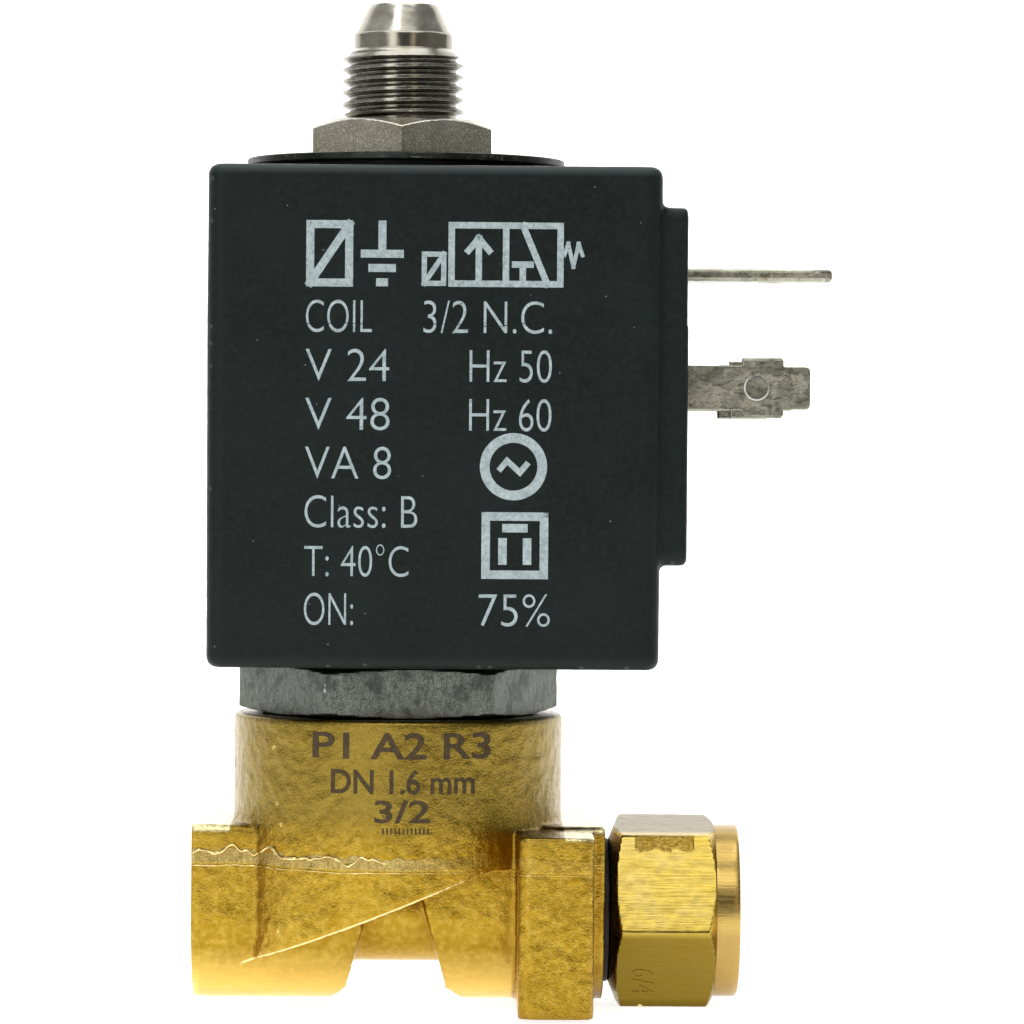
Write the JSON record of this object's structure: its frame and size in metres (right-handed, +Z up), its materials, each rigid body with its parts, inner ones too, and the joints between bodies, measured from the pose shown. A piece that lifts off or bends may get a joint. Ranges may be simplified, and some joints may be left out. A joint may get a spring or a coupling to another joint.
{
  "type": "solenoid valve",
  "caption": "Direct-acting three-way solenoid valve: forged brass body, moulded coil with plug blades, threaded exhaust fitting with cone seat and a union nut at the outlet.",
  "frame": {"origin": "centre of the inlet port's mouth, on the port axis", "axes": "+X along the ports from inlet to outlet, +Z up the armature tube to the exhaust, +Y across the valve"},
  "size_m": [0.0506, 0.03, 0.0799],
  "materials": {
    "forged_brass": "hot forged, orange-peel skin with machined faces",
    "turned_brass": "turned",
    "brushed_brass": "drawn bar flats",
    "tumbled_steel": "tumbled, grainy",
    "stainless": "turned",
    "turned_steel": "bright turned",
    "washer_steel": "dark passivated sheet",
    "spring_steel": "drawn wire",
    "yoke_steel": "plated sheet",
    "tinned": "dull tin plate",
    "copper": "copper",
    "coil_resin": "moulded glass-filled resin",
    "nylon": "moulded",
    "rubber": "moulded",
    "dark_sealant": "hard dark sealing ring"
  },
  "bodies": {
    "valve": {"valve_body": "forged_brass", "tube_base": "tumbled_steel", "base_o_ring": "rubber", "armature_tube": "stainless", "fixed_core": "stainless", "shading_ring": "copper", "fitting_o_ring": "rubber", "outlet_nipple": "turned_brass", "nipple_seal": "dark_sealant", "ferrule": "turned_brass"},
    "plunger": {"plunger": "stainless", "lower_seal": "rubber", "upper_seal_spring": "spring_steel", "plunger_spring": "spring_steel"},
    "exhaust_pad": {"upper_seal": "rubber"},
    "coil": {"coil_housing": "coil_resin", "coil_bobbin": "nylon", "coil_winding": "copper", "yoke_frame": "yoke_steel", "live_terminal_front": "tinned", "live_terminal_rear": "tinned", "earth_terminal": "tinned", "connector_insert": "turned_brass", "coil_bottom_seal": "rubber", "coil_top_seal": "rubber", "coil_washer": "washer_steel"},
    "fitting": {"exhaust_fitting": "turned_steel"},
    "nut": {"union_nut": "brushed_brass"}
  },
  "joints": [
    {"name": "plunger_slide", "type": "slide", "parent": "valve", "child": "plunger", "axis": [0, 0, 1], "range_m": [0, 0.0012], "stiffness_N_per_m": 600, "springref_m": -0.004, "deforming": ["plunger_spring"]},
    {"name": "pad_slide", "type": "slide", "parent": "plunger", "child": "exhaust_pad", "axis": [0, 0, 1], "range_m": [-0.0003, 0], "stiffness_N_per_m": 400, "springref_m": 0.002, "deforming": ["upper_seal_spring"]},
    {"name": "coil_turn", "type": "hinge", "parent": "valve", "child": "coil", "pos_m": [0.0162, 0, 0.04], "axis": [0, 0, 1], "continuous": true},
    {"name": "fitting_turn", "type": "hinge", "parent": "valve", "child": "fitting", "pos_m": [0.0162, 0, 0.062], "axis": [0, 0, 1], "continuous": true},
    {"name": "nut_turn", "type": "hinge", "parent": "valve", "child": "nut", "pos_m": [0.037, 0, 0], "axis": [1, 0, 0], "continuous": true}
  ]
}
